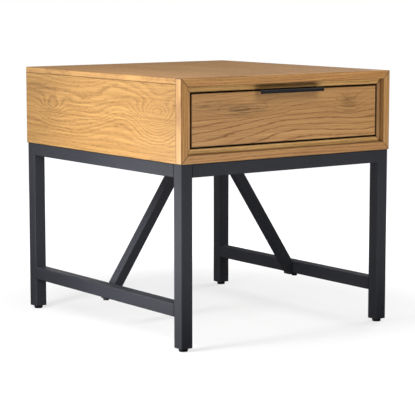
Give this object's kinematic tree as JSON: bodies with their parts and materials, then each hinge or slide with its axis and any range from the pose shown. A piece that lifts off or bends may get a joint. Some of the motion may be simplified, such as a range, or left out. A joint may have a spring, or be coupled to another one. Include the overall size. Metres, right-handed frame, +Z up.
{
  "type": "side table with drawer",
  "caption": "Low oak side table with an inset drawer under its top, a black edge pull, and an open black steel tube base with side stretchers and slanted braces.",
  "frame": {"origin": "on the floor, under the middle of the whole table with its pull, so 5 mm in front of the middle of the case", "axes": "+X runs to the right along the drawer front, +Y from the drawer front to the back, +Z up; the drawer opens along -Y"},
  "size_m": [0.56, 0.62, 0.558],
  "materials": {
    "oak_veneer": "oiled oak with open grain, satin",
    "drawer_box_wood": "plain lacquered birch",
    "powder_coat": "fine satin charcoal powder coat",
    "pull_black": "satin black coat",
    "black_steel": "blackened steel",
    "black_plastic": "moulded, matte",
    "zinc_steel": "bright zinc plate"
  },
  "bodies": {
    "table": {"back_panel": "oak_veneer", "bottom_panel": "oak_veneer", "brace_bolts": "black_steel", "brace_nuts": "black_steel", "brace_tabs": "powder_coat", "case_screws": "black_steel", "corner_plates": "powder_coat", "cross_rail": "powder_coat", "drawer_ledge_bottom": "oak_veneer", "drawer_ledge_left": "oak_veneer", "drawer_ledge_right": "oak_veneer", "drawer_ledge_top": "oak_veneer", "front_frame_bottom": "oak_veneer", "front_frame_left": "oak_veneer", "front_frame_right": "oak_veneer", "front_frame_top": "oak_veneer", "front_left_leg": "powder_coat", "front_rail": "powder_coat", "front_right_leg": "powder_coat", "left_brace": "powder_coat", "left_rail": "powder_coat", "left_runner_case_member": "zinc_steel", "left_runner_packer": "drawer_box_wood", "left_side_panel": "oak_veneer", "left_stretcher": "powder_coat", "leg_plugs": "black_plastic", "rear_left_leg": "powder_coat", "rear_rail": "powder_coat", "rear_right_leg": "powder_coat", "right_brace": "powder_coat", "right_rail": "powder_coat", "right_runner_case_member": "zinc_steel", "right_runner_packer": "drawer_box_wood", "right_side_panel": "oak_veneer", "right_stretcher": "powder_coat", "runner_case_screws": "zinc_steel", "top_panel": "oak_veneer"},
    "drawer": {"drawer_front": "oak_veneer", "drawer_inner_front": "drawer_box_wood", "drawer_back": "drawer_box_wood", "drawer_bottom": "drawer_box_wood", "drawer_left_side": "drawer_box_wood", "drawer_right_side": "drawer_box_wood", "drawer_pull": "pull_black", "pull_screws": "zinc_steel", "drawer_front_screws": "zinc_steel", "left_runner_drawer_member": "zinc_steel", "right_runner_drawer_member": "zinc_steel", "runner_drawer_screws": "zinc_steel"},
    "left_runner_middle": {"left_runner_middle_member": "zinc_steel"},
    "left_outer_ball_strips": {"left_runner_outer_balls": "zinc_steel"},
    "left_inner_ball_strips": {"left_runner_inner_balls": "zinc_steel"},
    "right_runner_middle": {"right_runner_middle_member": "zinc_steel"},
    "right_outer_ball_strips": {"right_runner_outer_balls": "zinc_steel"},
    "right_inner_ball_strips": {"right_runner_inner_balls": "zinc_steel"},
    "front_left_levelling_foot": {"front_left_foot": "black_plastic"},
    "front_right_levelling_foot": {"front_right_foot": "black_plastic"},
    "rear_left_levelling_foot": {"rear_left_foot": "black_plastic"},
    "rear_right_levelling_foot": {"rear_right_foot": "black_plastic"}
  },
  "joints": [
    {"name": "drawer_slide", "type": "slide", "parent": "table", "child": "drawer", "axis": [0, -1, 0], "range_m": [0, 0.5]},
    {"name": "left_middle_slide", "type": "slide", "parent": "table", "child": "left_runner_middle", "axis": [0, -1, 0], "range_m": [0, 0.25]},
    {"name": "left_outer_balls_slide", "type": "slide", "parent": "table", "child": "left_outer_ball_strips", "axis": [0, -1, 0], "range_m": [0, 0.125]},
    {"name": "left_inner_balls_slide", "type": "slide", "parent": "table", "child": "left_inner_ball_strips", "axis": [0, -1, 0], "range_m": [0, 0.375]},
    {"name": "right_middle_slide", "type": "slide", "parent": "table", "child": "right_runner_middle", "axis": [0, -1, 0], "range_m": [0, 0.25]},
    {"name": "right_outer_balls_slide", "type": "slide", "parent": "table", "child": "right_outer_ball_strips", "axis": [0, -1, 0], "range_m": [0, 0.125]},
    {"name": "right_inner_balls_slide", "type": "slide", "parent": "table", "child": "right_inner_ball_strips", "axis": [0, -1, 0], "range_m": [0, 0.375]},
    {"name": "front_left_foot_screw", "type": "slide", "parent": "table", "child": "front_left_levelling_foot", "axis": [0, 0, -1], "range_m": [0, 0.008]},
    {"name": "front_right_foot_screw", "type": "slide", "parent": "table", "child": "front_right_levelling_foot", "axis": [0, 0, -1], "range_m": [0, 0.008]},
    {"name": "rear_left_foot_screw", "type": "slide", "parent": "table", "child": "rear_left_levelling_foot", "axis": [0, 0, -1], "range_m": [0, 0.008]},
    {"name": "rear_right_foot_screw", "type": "slide", "parent": "table", "child": "rear_right_levelling_foot", "axis": [0, 0, -1], "range_m": [0, 0.008]}
  ],
  "couplings": [
    {"joint": "left_middle_slide", "follows": "drawer_slide", "ratio": 0.5},
    {"joint": "left_outer_balls_slide", "follows": "drawer_slide", "ratio": 0.25},
    {"joint": "left_inner_balls_slide", "follows": "drawer_slide", "ratio": 0.75},
    {"joint": "right_middle_slide", "follows": "drawer_slide", "ratio": 0.5},
    {"joint": "right_outer_balls_slide", "follows": "drawer_slide", "ratio": 0.25},
    {"joint": "right_inner_balls_slide", "follows": "drawer_slide", "ratio": 0.75}
  ]
}
